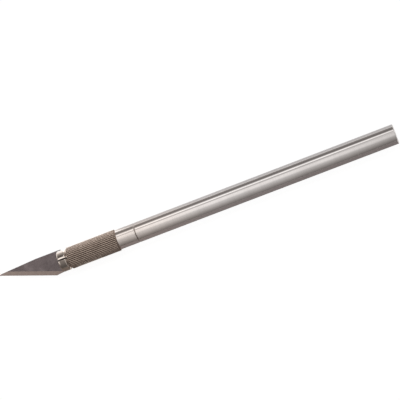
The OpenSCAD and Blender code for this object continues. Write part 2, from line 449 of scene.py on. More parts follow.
def vector_maths(tree, operation, first, second):
    """Adds a Vector Math node and returns its result."""
    node = add_node(tree, "ShaderNodeVectorMath", {0: first, 1: second}, operation=operation)
    return node.outputs[0]


def split(tree, vector):
    """Takes a vector apart and returns its X, Y and Z."""
    return add_node(tree, "ShaderNodeSeparateXYZ", {0: vector}).outputs


def ramp(tree, value, low, high, start=0.0, end=1.0, kind="SMOOTHSTEP"):
    """Maps a value from low and high to start and end, and holds it beyond them."""
    inputs = {"Value": value, "From Min": low, "From Max": high, "To Min": start, "To Max": end}
    node = add_node(tree, "ShaderNodeMapRange", inputs, interpolation_type=kind, clamp=True)
    return node.outputs["Result"]


def blend_colours(tree, mask, first, second):
    """Mixes two colours by a mask."""
    node = add_node(tree, "ShaderNodeMix", {"Factor": mask}, data_type="RGBA")
    for socket, value in ((node.inputs[6], first), (node.inputs[7], second)):
        if isinstance(value, bpy.types.NodeSocket):
            tree.links.new(value, socket)
        else:
            socket.default_value = (*value, 1)
    return node.outputs[2]


def blend_in(tree, base, added, mask, amount):
    """Mixes a share of a second colour into the first, where a mask shows it."""
    return blend_colours(tree, times(tree, mask, amount), base, added)


def roughened(tree, roughness, mask, amount):
    """Adds to a roughness where a mask shows it."""
    return maths(tree, "ADD", roughness, times(tree, mask, amount), clamp=True)


def facing_ends(tree):
    """How squarely a surface looks along the knife: 0 on its side, 1 on an end."""
    normal = add_node(tree, "ShaderNodeTexCoord").outputs["Normal"]
    return maths(tree, "ABSOLUTE", split(tree, normal)["X"])


def stretched_noise(tree, vector, scale, detail=3.0, roughness=0.6):
    """Noise on coordinates that are scaled apart along X, Y and Z."""
    spread = vector_maths(tree, "MULTIPLY", vector, scale)
    inputs = {"Vector": spread, "Scale": 1.0, "Detail": detail, "Roughness": roughness}
    return add_node(tree, "ShaderNodeTexNoise", inputs).outputs[0]


def new_group(name, inputs, outputs):
    """Makes a shader node group with its sockets, and returns it with its inputs and outputs."""
    group = bpy.data.node_groups.new(name, "ShaderNodeTree")
    for direction, labels in (("INPUT", inputs), ("OUTPUT", outputs)):
        for label in labels:
            kind = "NodeSocketVector" if label == "Vector" else "NodeSocketFloat"
            group.interface.new_socket(label, in_out=direction, socket_type=kind)
    source = group.nodes.new("NodeGroupInput")
    target = group.nodes.new("NodeGroupOutput")
    return group, source.outputs, target.inputs


def use_group(tree, group, **inputs):
    """Places a group in a material and returns its outputs."""
    values = {name.replace("_", " "): value for name, value in inputs.items()}
    return add_node(tree, "ShaderNodeGroup", values, node_tree=group).outputs


def axis_radius_group():
    """Distance from the knife's axis, in millimetres."""
    name = "Axis radius"
    if name in bpy.data.node_groups:
        return bpy.data.node_groups[name]
    group, given, out = new_group(name, ["Vector"], ["Radius"])
    offset = vector_maths(group, "SUBTRACT", given["Vector"], (0, 0, AXIS_Z))
    across = vector_maths(group, "MULTIPLY", offset, (0, 1, 1))
    size = add_node(group, "ShaderNodeVectorMath", {0: across}, operation="LENGTH")
    group.links.new(maths(group, "DIVIDE", size.outputs["Value"], MM), out["Radius"])
    return group


def axis_band_group():
    """Mask of a band round the knife's axis, at a place on X."""
    name = "Axis band"
    if name in bpy.data.node_groups:
        return bpy.data.node_groups[name]
    group, given, out = new_group(name, ["Vector", "Centre", "Half width", "Softness"], ["Mask"])
    along = split(group, given["Vector"])["X"]
    away = maths(group, "ABSOLUTE", maths(group, "SUBTRACT", along, given["Centre"]))
    edge = maths(group, "ADD", given["Half width"], given["Softness"])
    group.links.new(ramp(group, away, given["Half width"], edge, start=1.0, end=0.0), out["Mask"])
    return group


def turning_lines_group():
    """Fine lines round the axis that a lathe tool leaves, with broader streaks among them."""
    name = "Turning lines"
    if name in bpy.data.node_groups:
        return bpy.data.node_groups[name]
    group, given, out = new_group(name, ["Vector", "Fineness"], ["Height", "Streaks"])
    for label, factor, around in (("Height", 1.0, 55.0), ("Streaks", 0.09, 35.0)):
        scaled = times(group, given["Fineness"], factor)
        spread = add_node(group, "ShaderNodeCombineXYZ", {"X": scaled, "Y": around, "Z": around})
        noise = stretched_noise(group, given["Vector"], spread.outputs[0])
        group.links.new(noise, out[label])
    return group


def handling_marks_group():
    """Smudges left by fingers, and thin scratches."""
    name = "Handling marks"
    if name in bpy.data.node_groups:
        return bpy.data.node_groups[name]
    group, given, out = new_group(name, ["Vector", "Scale"], ["Smudge", "Scratch"])
    inputs = {"Vector": given["Vector"], "Scale": given["Scale"]}
    inputs.update({"Detail": 5.0, "Roughness": 0.62, "Distortion": 0.4})
    smear = add_node(group, "ShaderNodeTexNoise", inputs).outputs[0]
    group.links.new(ramp(group, smear, low=0.42, high=0.68), out["Smudge"])
    turned = add_node(group, "ShaderNodeMapping", {"Vector": given["Vector"], "Rotation": (0.3, 0.5, 0.35)})
    hair = stretched_noise(group, turned.outputs[0], (160, 9000, 9000), detail=2.0, roughness=0.5)
    group.links.new(ramp(group, hair, low=0.64, high=0.7), out["Scratch"])
    return group


def metal_material(name):
    """A metal with its shader, node tree and object coordinates."""
    material = bpy.data.materials.new(name)
    material.use_nodes = True
    tree = material.node_tree
    shader = tree.nodes["Principled BSDF"]
    shader.inputs["Metallic"].default_value = 1.0
    place = add_node(tree, "ShaderNodeTexCoord").outputs["Object"]
    return material, tree, shader, place


def finish_metal(tree, shader, base, roughness, height, bump_strength, bump_depth):
    """Links colour, roughness and relief to the shader."""
    inputs = {"Strength": bump_strength, "Distance": bump_depth, "Height": height}
    bump = add_node(tree, "ShaderNodeBump", inputs)
    tree.links.new(base, shader.inputs["Base Color"])
    tree.links.new(roughness, shader.inputs["Roughness"])
    tree.links.new(bump.outputs[0], shader.inputs["Normal"])


def turned_aluminium(colours):
    """Satin aluminium bar: turning lines, faced ends, smudges and grime in the joint line."""
    name = "Turned aluminium"
    if name in bpy.data.materials:
        return bpy.data.materials[name]
    material, tree, shader, place = metal_material(name)
    lines = use_group(tree, turning_lines_group(), Vector=place, Fineness=9000.0)
    marks = use_group(tree, handling_marks_group(), Vector=place, Scale=70.0)
    radius = use_group(tree, axis_radius_group(), Vector=place)["Radius"]
    joint = use_group(
        tree, axis_band_group(), Vector=place,
        Centre=BARREL_LOW.x, Half_width=0.03 * MM, Softness=0.16 * MM,
    )["Mask"]
    along = split(tree, place)["X"]
    warm_end = BARREL_LOW.x + 40 * MM
    to_rear = ramp(tree, along, low=FERRULE_LOW.x, high=warm_end)
    metal = blend_colours(tree, to_rear, colours.aluminium_front, colours.aluminium)
    streaks = ramp(tree, lines["Streaks"], low=0.35, high=0.75, end=0.05)
    streaked = blend_colours(tree, streaks, metal, colours.grime_and_shade)
    duller = ramp(tree, along, low=0.0, high=BARREL_HIGH.x, end=0.12)
    dulled = blend_colours(tree, duller, streaked, colours.grime_and_shade)
    smudged = blend_in(tree, dulled, colours.grime_and_shade, marks["Smudge"], amount=0.04)
    base = blend_in(tree, smudged, colours.grime_and_shade, joint, amount=0.2)
    worn = ramp(tree, marks["Smudge"], low=0.0, high=1.0, start=0.07, end=0.1)
    scratched = roughened(tree, worn, marks["Scratch"], amount=0.05)
    roughness = roughened(tree, scratched, joint, amount=0.3)
    rings = {"W": radius, "Scale": 9.0, "Detail": 2.0}
    faced = add_node(tree, "ShaderNodeTexNoise", rings, noise_dimensions="1D").outputs[0]
    on_ends = ramp(tree, facing_ends(tree), low=0.9, high=0.99)
    relief = add_node(tree, "ShaderNodeMix", {"Factor": on_ends, "A": lines["Height"], "B": faced})
    height = relief.outputs[0]
    finish_metal(tree, shader, base, roughness, height, bump_strength=0.1, bump_depth=0.012 * MM)
    return material


def ridged_metal(colours, sizes):
    """Warm grey plating: dull roots, rubbed crests and bright chamfers, and painted shade that darkens the
    roots towards the cutting edge's side.
    """
    material, tree, shader, place = metal_material("Ridged metal")
    radius = use_group(tree, axis_radius_group(), Vector=place)["Radius"]
    lines = use_group(tree, turning_lines_group(), Vector=place, Fineness=5200.0)
    marks = use_group(tree, handling_marks_group(), Vector=place, Scale=210.0)
    # In millimetres, as the radius is: the height of a flank that stays dull, and a crest's own unevenness
    dull_flank = 0.17
    uneven_crest = 0.01
    root = (SLEEVE_RADIUS - sizes.ridge_depth) / MM
    crest = SLEEVE_RADIUS / MM
    raised = ramp(tree, radius, low=root + dull_flank, high=crest - uneven_crest)
    patchy = times(tree, raised, ramp(tree, marks["Smudge"], low=0.0, high=1.0, start=1.0, end=0.88))
    rubbed = times(tree, patchy, ramp(tree, lines["Height"], low=0.3, high=0.62, start=0.92))
    chamfers = ramp(tree, facing_ends(tree), low=0.3, high=0.6, end=0.8)
    worn = maths(tree, "MAXIMUM", rubbed, chamfers, clamp=True)
    # Painted shade: the roots darken from the spine's side to the cutting edge's side, which lies in shade
    to_spine = split(tree, place)["Y"]
    packed = ramp(tree, to_spine, -SLEEVE_RADIUS, SLEEVE_RADIUS, start=1.0, end=0.0, kind="LINEAR")
    between = blend_colours(tree, packed, colours.ridge_root, colours.ridge_root_shade)
    base = blend_colours(tree, worn, between, colours.ridge_crest)
    roughness = ramp(tree, worn, low=0.0, high=1.0, start=0.45, end=0.26)
    height = lines["Height"]
    finish_metal(tree, shader, base, roughness, height, bump_strength=0.12, bump_depth=0.02 * MM)
    return material


def polished_plating(colours):
    """Bright warm plating with faint polishing lines, smudges, and grime with painted shade beside the saw
    cuts.
    """
    name = "Polished plating"
    if name in bpy.data.materials:
        return bpy.data.materials[name]
    material, tree, shader, place = metal_material(name)
    lines = use_group(tree, turning_lines_group(), Vector=place, Fineness=14000.0)
    marks = use_group(tree, handling_marks_group(), Vector=place, Scale=420.0)
    # Grime and painted shade darken the saw cut's face and a narrow band beside it
    from_cut = maths(tree, "ABSOLUTE", split(tree, place)["Y"])
    cut_shade_end = JAW_LOW.y + 0.12 * MM
    near_cut = ramp(tree, from_cut, low=JAW_LOW.y, high=cut_shade_end, start=1.0, end=0.0)
    cut_grime_and_shade = times(tree, near_cut, ramp(tree, marks["Smudge"], low=0.0, high=1.0, start=0.8))
    smudged = blend_in(tree, colours.plating, colours.grime_and_shade, marks["Smudge"], amount=0.05)
    base = blend_colours(tree, cut_grime_and_shade, smudged, colours.grime_and_shade)
    polish = ramp(tree, marks["Smudge"], low=0.0, high=1.0, start=0.04, end=0.07)
    roughness = roughened(tree, polish, marks["Scratch"], amount=0.04)
    height = lines["Height"]
    finish_metal(tree, shader, base, roughness, height, bump_strength=0.02, bump_depth=0.006 * MM)
    return material


def rolled_steel(colours):
    """Dark rolled faces of the blade, with lines along the strip, cloudy bands, a painted reflection that
    darkens them towards the cutting edge and the heel, and grime with painted shade inside the jaws.
    """
    material, tree, shader, place = metal_material("Rolled steel")
    strip_lines = stretched_noise(tree, place, (70, 5200, 5200))
    cloud_inputs = {"Vector": place, "Scale": 160.0, "Detail": 4.0}
    clouds = add_node(tree, "ShaderNodeTexNoise", cloud_inputs).outputs[0]
    marks = use_group(tree, handling_marks_group(), Vector=place, Scale=260.0)
    parts = split(tree, place)
    heel = BLADE_LOW.x + 22 * MM
    before_heel = heel - 5 * MM
    held = JAW_LOW.x + 0.8 * MM
    line_share = 0.5
    cloudy = ramp(tree, clouds, low=0.0, high=1.0, start=0.2, end=0.46, kind="LINEAR")
    lined = maths(tree, "ADD", cloudy, times(tree, strip_lines, line_share))
    # Painted reflection: the face darkens towards the cutting edge and towards the heel
    to_edge = ramp(tree, parts["Y"], BLADE_LOW.y, BLADE_HIGH.y, start=0.3, end=-0.1, kind="LINEAR")
    to_heel = ramp(tree, parts["X"], before_heel, heel, start=-0.2, end=0.3, kind="LINEAR")
    tone = maths(tree, "ADD", lined, maths(tree, "ADD", to_edge, to_heel))
    bands = ramp(tree, tone, low=0.4, high=1.0)
    face = blend_colours(tree, bands, colours.rolled_steel, colours.rolled_steel_dark)
    # Grime and painted shade darken the blade where it goes into the jaws
    in_jaws = ramp(tree, parts["X"], low=JAW_LOW.x, high=held, end=0.8)
    base = blend_colours(tree, in_jaws, face, colours.grime_and_shade)
    smeared = ramp(tree, marks["Smudge"], low=0.0, high=1.0, start=0.15, end=0.2)
    roughness = roughened(tree, smeared, marks["Scratch"], amount=0.08)
    finish_metal(tree, shader, base, roughness, strip_lines, bump_strength=0.2, bump_depth=0.01 * MM)
    return material


def ground_steel(colours, edge_angle):
    """Bright bevel with grinding lines that stand square to the cutting edge."""
    material, tree, shader, place = metal_material("Ground steel")
    turn = {"Vector": place, "Rotation": (0, 0, edge_angle)}
    turned = add_node(tree, "ShaderNodeMapping", turn).outputs[0]
    grinding = stretched_noise(tree, turned, (7500, 130, 130))
    broad = stretched_noise(tree, turned, (700, 60, 60))
    patches = ramp(tree, broad, low=0.3, high=0.7)
    base = blend_in(tree, colours.ground_steel, colours.rolled_steel, patches, amount=0.15)
    roughness = ramp(tree, grinding, low=0.3, high=0.7, start=0.16, end=0.24)
    finish_metal(tree, shader, base, roughness, grinding, bump_strength=0.3, bump_depth=0.012 * MM)
    return material


# Stage

# How far the grain changes the colour of the floor and of the cards
FLOOR_GRAIN = 0.02
CARD_GRAIN = 0.05
CARD_ROUGHNESS = 0.9
CARD_LIFT = 0.2 * MM

# Ends of the cards along the knife
FAR_TIP_X = -2.0
BEFORE_HEEL_X = BLADE_LOW.x + 18.3 * MM
NOSE_X = SLEEVE_LOW.x - 3 * MM
MOUTH_X = SLEEVE_LOW.x + 1 * MM
GRIP_X = FERRULE_LOW.x - 9 * MM
SLEEVE_X = FERRULE_LOW.x - 3 * MM
BUTT_X = BARREL_HIGH.x + 2 * MM
# Ends of the cards across the knife
FAR_EDGE_Y = -3.0
SPINE_SIDE = (4 * MM, 60 * MM)

# Cards on the floor: name, ends along the knife, ends across it, colour and own light
FLOOR_CARDS = (
    # The grey, dark, brown and pale cards are painted shade: they stand in for the knife's shade on the
    # floor beside it, where the metal reflects it
    ("grey_card", (GRIP_X, BUTT_X), (FAR_EDGE_Y, -4.6 * MM), "grey_card", 0.0),
    ("dark_card", (MOUTH_X, GRIP_X), (FAR_EDGE_Y, -10 * MM), "dark_card", 0.0),
    ("brown_card", (FAR_TIP_X, MOUTH_X), (FAR_EDGE_Y, -4 * MM), "brown_card", 0.0),
    ("pale_card", (FERRULE_LOW.x, BUTT_X), SPINE_SIDE, "pale_card", 0.45),
    ("nose_card", (BEFORE_HEEL_X, NOSE_X), SPINE_SIDE, "bright_card", 0.9),
    ("bright_card", (NOSE_X, SLEEVE_X), SPINE_SIDE, "bright_card", 1.6),
)
# Upright card behind the butt: its middle, its height and width, and its own light
BUTT_CARD_MIDDLE = (BUTT_X + 25 * MM, 0, 13 * MM)
BUTT_CARD_SPANS = (26 * MM, 60 * MM)
BUTT_CARD_GLOW = 1.0

# Lights of the room, in degrees from upright to the spine's side: start, full, start of the fade, end
LIGHT_SPANS = {
    "overhead": (-103, 6, 43.5, 59.5),
    "centre": (-33, -12, 4, 15),
    "strip": (33, 38, 43, 48),
    "gap": (20, 25, 29, 34),
    "side": (62, 90, 100, 110),
    "front_strip": (11, 17, 28, 40),
    "front_centre": (-75, 0, 18, 30),
    "front_side": (48, 85, 100, 110),
    "front_low": (-60, -20, 0, 15),
}
# Lights that lean along the knife, in radians for each unit of a direction's X
LIGHT_LEANS = {"overhead": 0.35, "centre": 1.6}
# Where zones of the room start and end, by a direction's X
HANDLE_ZONE_START = (-0.204, -0.194)
HANDLE_ZONE_END = (-0.06, 0.14)
TIP_ZONE_END = (-0.36, -0.29)
# The strip grows brighter to the butt, by a direction's X
STRIP_RISE = (-0.1, 0.0)
STRIP_GAIN = 1.4
# Brightness over which the room's tint fades to white
TINT_FADE = (0.2, 0.8)

# The camera sees from this many times nearer than its aim to this many times farther
CLIP_RANGE = 100


def floor_material(colours, stage):
    """Pale floor that shows white in the picture and in reflections, and keeps a soft shadow."""
    material = bpy.data.materials.new("Pale floor")
    material.use_nodes = True
    material.cycles.emission_sampling = "NONE"
    tree = material.node_tree
    tree.nodes.remove(tree.nodes["Principled BSDF"])
    grain = add_node(tree, "ShaderNodeTexNoise", {"Scale": 3.0}).outputs[0]
    pale = tuple(colours.floor)
    lighter = tuple(value * (1 + FLOOR_GRAIN) for value in pale)
    tone = blend_colours(tree, grain, pale, lighter)
    matt = add_node(tree, "ShaderNodeBsdfDiffuse", {"Color": tone})
    glow = add_node(tree, "ShaderNodeEmission", {"Color": (1, 1, 1, 1), "Strength": stage.floor_glow})
    path = add_node(tree, "ShaderNodeLightPath").outputs
    seen = maths(tree, "MAXIMUM", path["Is Camera Ray"], path["Is Glossy Ray"])
    seen = maths(tree, "MAXIMUM", seen, path["Is Transmission Ray"])
    part = times(tree, seen, stage.floor_share)
    mixed = add_node(tree, "ShaderNodeMixShader", {0: part, 1: matt.outputs[0], 2: glow.outputs[0]})
    tree.links.new(mixed.outputs[0], tree.nodes["Material Output"].inputs["Surface"])
    return material


def card_material(name, tint, glow):
    """Matt card with a little light of its own."""
    material = bpy.data.materials.new(name)
    material.use_nodes = True
    material.cycles.emission_sampling = "NONE"
    tree = material.node_tree
    grain = add_node(tree, "ShaderNodeTexNoise", {"Scale": 40.0}).outputs[0]
    darker = tuple(value * (1 - CARD_GRAIN) for value in tint)
    tone = blend_colours(tree, grain, darker, tuple(tint))
    shader = tree.nodes["Principled BSDF"]
    tree.links.new(tone, shader.inputs["Base Color"])
    shader.inputs["Roughness"].default_value = CARD_ROUGHNESS
    shader.inputs["Specular IOR Level"].default_value = 0.0
    shader.inputs["Emission Color"].default_value = (*tint, 1)
    shader.inputs["Emission Strength"].default_value = glow
    return material


def place_card(name, middle, spans, turn, tint, glow):
    """Puts up a card that only reflections show, turned round Y."""
    deselect_all()
    bpy.ops.mesh.primitive_plane_add(size=1, location=middle, rotation=(0, turn, 0))
    card = bpy.context.object
    card.name = name
    card.scale = (*spans, 1)
    bpy.ops.object.transform_apply(location=True, rotation=True, scale=True)
    card.data.materials.append(card_material(name, tint, glow))
    card.visible_camera = False
    card.visible_diffuse = False
    card.visible_shadow = False
    card.visible_transmission = False


def lay_card(name, x_ends, y_ends, tint, glow):
    """Lays a card on the floor between its ends along the knife and across it."""
    middle = (sum(x_ends) / 2, sum(y_ends) / 2, CARD_LIFT)
    place_card(name, middle, (x_ends[1] - x_ends[0], y_ends[1] - y_ends[0]), 0, tint, glow)


def studio_world(colours, stage):
    """A dim room, a large soft light over the handle and a smaller one at the spine's side of the blade."""
    world = bpy.data.worlds.new("Studio")
    bpy.context.scene.world = world
    world.use_nodes = True
    tree = world.node_tree
    toward = add_node(tree, "ShaderNodeTexCoord").outputs["Generated"]
    parts = split(tree, toward)
    across = maths(tree, "ARCTAN2", parts["Y"], parts["Z"])
    after_blade = ramp(tree, parts["X"], *HANDLE_ZONE_START)
    before_butt = ramp(tree, parts["X"], *HANDLE_ZONE_END, start=1.0, end=0.0)
    over_handle = times(tree, after_blade, before_butt)
    over_blade = maths(tree, "SUBTRACT", 1.0, over_handle)
    beyond_tip = ramp(tree, parts["X"], *TIP_ZONE_END, start=1.0, end=0.0)
    to_butt = ramp(tree, parts["X"], *STRIP_RISE, start=1.0, end=STRIP_GAIN)

    def light(name, sign=1):
        """A light of the room, at the brightness that the stage gives it."""
        rise, full, fade, off = (math.radians(degrees) for degrees in LIGHT_SPANS[name])
        place = across
        if name in LIGHT_LEANS:
            place = maths(tree, "ADD", across, times(tree, parts["X"], LIGHT_LEANS[name]))
        grown = ramp(tree, place, rise, full)
        faded = ramp(tree, place, fade, off, start=1.0, end=0.0)
        return times(tree, times(tree, grown, faded), sign * getattr(stage, name))

    def summed(zone, *lights):
        """Adds lights up and keeps them to one zone of the room."""
        total = lights[0]
        for other in lights[1:]:
            total = maths(tree, "ADD", total, other)
        return times(tree, total, zone)

    handle_light = summed(
        over_handle,
        light("overhead"),
        light("centre"),
        times(tree, light("strip"), to_butt),
        light("gap", sign=-1),
        light("side"),
        stage.room,
    )
    blade_light = summed(
        over_blade,
        light("front_strip"),
        light("front_centre"),
        light("front_side"),
        times(tree, light("front_low"), beyond_tip),
        stage.front_room,
    )
    total = maths(tree, "ADD", handle_light, blade_light)
    tree.links.new(total, tree.nodes["Background"].inputs["Strength"])
    tint = blend_colours(tree, ramp(tree, total, *TINT_FADE), colours.room, (1, 1, 1))
    tree.links.new(tint, tree.nodes["Background"].inputs["Color"])


def studio_camera(stage):
    """Camera nearly overhead, leaning to the butt and to the cutting edge."""
    butt, edge, roll = stage.lean_to_butt, stage.lean_to_edge, stage.roll
    back = Vector((math.sin(butt), -math.cos(butt) * math.sin(edge), math.cos(butt) * math.cos(edge)))
    level = Vector((1, 0, 0)) - back * back.x
    level.normalize()
    upright = back.cross(level)
    right = level * math.cos(roll) - upright * math.sin(roll)
    up = level * math.sin(roll) + upright * math.cos(roll)
    aim = Vector((stage.aim_x, stage.aim_y, AXIS_Z))
    deselect_all()
    bpy.ops.object.camera_add()
    camera = bpy.context.object
    camera.name = "Camera"
    camera.data.lens = stage.lens
    camera.data.clip_start = stage.distance / CLIP_RANGE
    camera.data.clip_end = stage.distance * CLIP_RANGE
    turn = Matrix((right, up, back)).transposed().to_4x4()
    camera.matrix_world = Matrix.Translation(aim + back * stage.distance) @ turn
    bpy.context.scene.camera = camera


class SCALPEL_OT_stage(bpy.types.Operator):
    """Make the floor, the light and the camera"""

    bl_idname = "scalpel.stage"
    bl_label = "Stage"

    def execute(self, context):
        stage = context.scene.scalpel_stage
        colours = context.scene.scalpel_colours
        context.scene.view_settings.view_transform = "Standard"
        deselect_all()
        bpy.ops.mesh.primitive_plane_add(size=stage.floor_size)
        floor = context.object
        floor.name = "floor"
        floor.data.materials.append(floor_material(colours, stage))
        for name, x_ends, y_ends, tint, glow in FLOOR_CARDS:
            lay_card(name, x_ends, y_ends, getattr(colours, tint), glow)
        upright = math.pi / 2
        tint = colours.pale_card
        place_card("butt_card", BUTT_CARD_MIDDLE, BUTT_CARD_SPANS, upright, tint, BUTT_CARD_GLOW)
        studio_world(colours, stage)
        studio_camera(stage)
        return {"FINISHED"}


class SCALPEL_OT_barrel(bpy.types.Operator):
    """Turn the barrel from solid bar, with its socket and chamfers"""

    bl_idname = "scalpel.barrel"
    bl_label = "Barrel"

    def execute(self, context):
        sizes = context.scene.scalpel_handle
        front, butt = BARREL_LOW.x, BARREL_HIGH.x
        socket_end = front + sizes.socket_depth
        piece = start_ring("turned_barrel", socket_end, sizes.spigot_radius, TURNED_POINTS, True)
        extrude_rings([
            (front + sizes.support, sizes.spigot_radius),
            (front, sizes.spigot_radius),
            (front, BARREL_RADIUS - sizes.joint_chamfer),
            (front + sizes.joint_chamfer, BARREL_RADIUS),
            (front + sizes.joint_chamfer + sizes.support, BARREL_RADIUS),
            (butt - sizes.butt_chamfer - sizes.support, BARREL_RADIUS),
            (butt - sizes.butt_chamfer, BARREL_RADIUS),
            (butt, BARREL_RADIUS - sizes.butt_chamfer),
            (butt, BARREL_RADIUS - sizes.butt_chamfer - sizes.support),
        ])
        close_piece()
        soften_edges(piece, sizes.edge_break)
        shade(TURNED_CREASE)
        piece.data.materials.append(turned_aluminium(context.scene.scalpel_colours))
        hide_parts("handle_barrel")
        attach(piece, "handle")
        return {"FINISHED"}


class SCALPEL_OT_ferrule(bpy.types.Operator):
    """Turn the plain ferrule, with its spigot and its tapped hole"""

    bl_idname = "scalpel.ferrule"
    bl_label = "Ferrule"

    def execute(self, context):
        sizes = context.scene.scalpel_handle
        thread = context.scene.scalpel_thread
        front, joint, back = FERRULE_LOW.x, BARREL_LOW.x, FERRULE_HIGH.x
        hole = thread.crest_radius + thread.clearance
        wobble = thread.depth / 2
        mouth = hole + thread.depth
        piece, thread_end = thread_tube(
            "plain_ferrule", front + thread.lead_in, back - thread.lead_in,
            hole + wobble, wobble, thread.pitch,
        )
        select_ring(front + thread.lead_in)
        extrude_rings([
            (front, mouth),
            (front, BARREL_RADIUS - sizes.front_chamfer),
            (front + sizes.front_chamfer, BARREL_RADIUS),
            (front + sizes.front_chamfer + sizes.support, BARREL_RADIUS),
            (joint - sizes.joint_chamfer - sizes.support, BARREL_RADIUS),
            (joint - sizes.joint_chamfer, BARREL_RADIUS),
            (joint, BARREL_RADIUS - sizes.joint_chamfer),
            (joint, sizes.spigot_radius),
            (joint + sizes.support, sizes.spigot_radius),
            (back, sizes.spigot_radius),
            (back, mouth),
        ])
        extrude_ring(thread_end, hole + wobble, wobble)
        close_piece()
        shade(TURNED_CREASE)
        piece.data.materials.append(turned_aluminium(context.scene.scalpel_colours))
        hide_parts("threaded_ferrule")
        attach(piece, "handle")
        return {"FINISHED"}


class SCALPEL_OT_sleeve(bpy.types.Operator):
    """Turn the sleeve and raise its straight ridges"""

    bl_idname = "scalpel.sleeve"
    bl_label = "Ridged sleeve"

    def execute(self, context):
        sizes = context.scene.scalpel_sleeve
        front, back = SLEEVE_LOW.x, SLEEVE_HIGH.x
        root = SLEEVE_RADIUS - sizes.ridge_depth
        face = SLEEVE_RADIUS - sizes.end_chamfer
        rise = sizes.end_chamfer - sizes.ridge_depth
        mouth_end = front + sizes.mouth_depth
        points = sizes.ridges * RIDGE_POINTS
        piece = start_ring("ridged_sleeve", mouth_end, sizes.bore_radius, points, False)
        extrude_rings([
            (front, sizes.mouth_radius),
            (front, face),
            (front + rise, root),
            (front + sizes.end_chamfer, SLEEVE_RADIUS),
            (front + sizes.end_chamfer + sizes.support, SLEEVE_RADIUS),
            (back - sizes.end_chamfer - sizes.support, SLEEVE_RADIUS),
            (back - sizes.end_chamfer, SLEEVE_RADIUS),
            (back - rise, root),
            (back, face),
            (back, sizes.bore_radius),
            (mouth_end, sizes.bore_radius),
        ])
        # Press down the points between the crests, from a crest's edge to the middle of a root
        crest_edge = sizes.crest_share / 2
        root_edge = 0.5 - sizes.root_share / 2

        def from_crest(co):
            """Distance of a point from the nearest crest, as a share of the pitch."""
            turns = math.atan2(co.y, AXIS_Z - co.z) / math.tau * sizes.ridges
            return abs(turns - round(turns))

        def outside(co):
            """True on the outer face of the sleeve."""
            return math.hypot(co.y, co.z - AXIS_Z) > SLEEVE_RADIUS - NEAR

        spacing = 1 / RIDGE_POINTS
        for step in range(1, RIDGE_POINTS // 2 + 1):
            away = step * spacing
            height = min(max((root_edge - away) / (root_edge - crest_edge), 0), 1)
            scale = (root + sizes.ridge_depth * height) / SLEEVE_RADIUS
            select_parts("VERT", lambda co: outside(co) and abs(from_crest(co) - away) < spacing / 4)
            bpy.ops.transform.resize(value=(1, scale, scale), center_override=(0, 0, AXIS_Z))
        close_piece()
        shade(RIDGE_CREASE)
        piece.data.materials.append(ridged_metal(context.scene.scalpel_colours, sizes))
        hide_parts("knurled_sleeve")
        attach(piece, "sleeve")
        return {"FINISHED"}


class SCALPEL_OT_stem(bpy.types.Operator):
    """Turn the collet's stem: the guide and the threaded tail"""

    bl_idname = "scalpel.stem"
    bl_label = "Collet stem"

    def execute(self, context):
        sizes = context.scene.scalpel_collet
        thread = context.scene.scalpel_thread
        root, end = STEM_LOW.x, STEM_HIGH.x
        guide_end = root + sizes.guide_length
        wobble = thread.depth / 2
        core = thread.crest_radius - thread.depth
        neck = guide_end + thread.pitch
        piece, thread_end = thread_tube(
            "threaded_stem", neck, end - thread.lead_in,
            thread.crest_radius - wobble, wobble, thread.pitch,
        )
        select_ring(neck)
        extrude_rings([
            (neck - thread.lead_in, core),
            (guide_end, core),
            (guide_end, GUIDE_RADIUS - sizes.edge_break),
            (guide_end - sizes.edge_break, GUIDE_RADIUS),
            (root + sizes.edge_break, GUIDE_RADIUS),
            (root, GUIDE_RADIUS - sizes.edge_break),
        ])
        bpy.ops.mesh.edge_face_add()
        select_ring(thread_end)
        extrude_rings([(thread_end + thread.lead_in, core), (end, core - thread.lead_in)])
        bpy.ops.mesh.edge_face_add()
        close_piece()
        shade(TURNED_CREASE)
        piece.data.materials.append(polished_plating(context.scene.scalpel_colours))
        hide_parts("collet_stem")
        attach(piece, "collet")
        return {"FINISHED"}


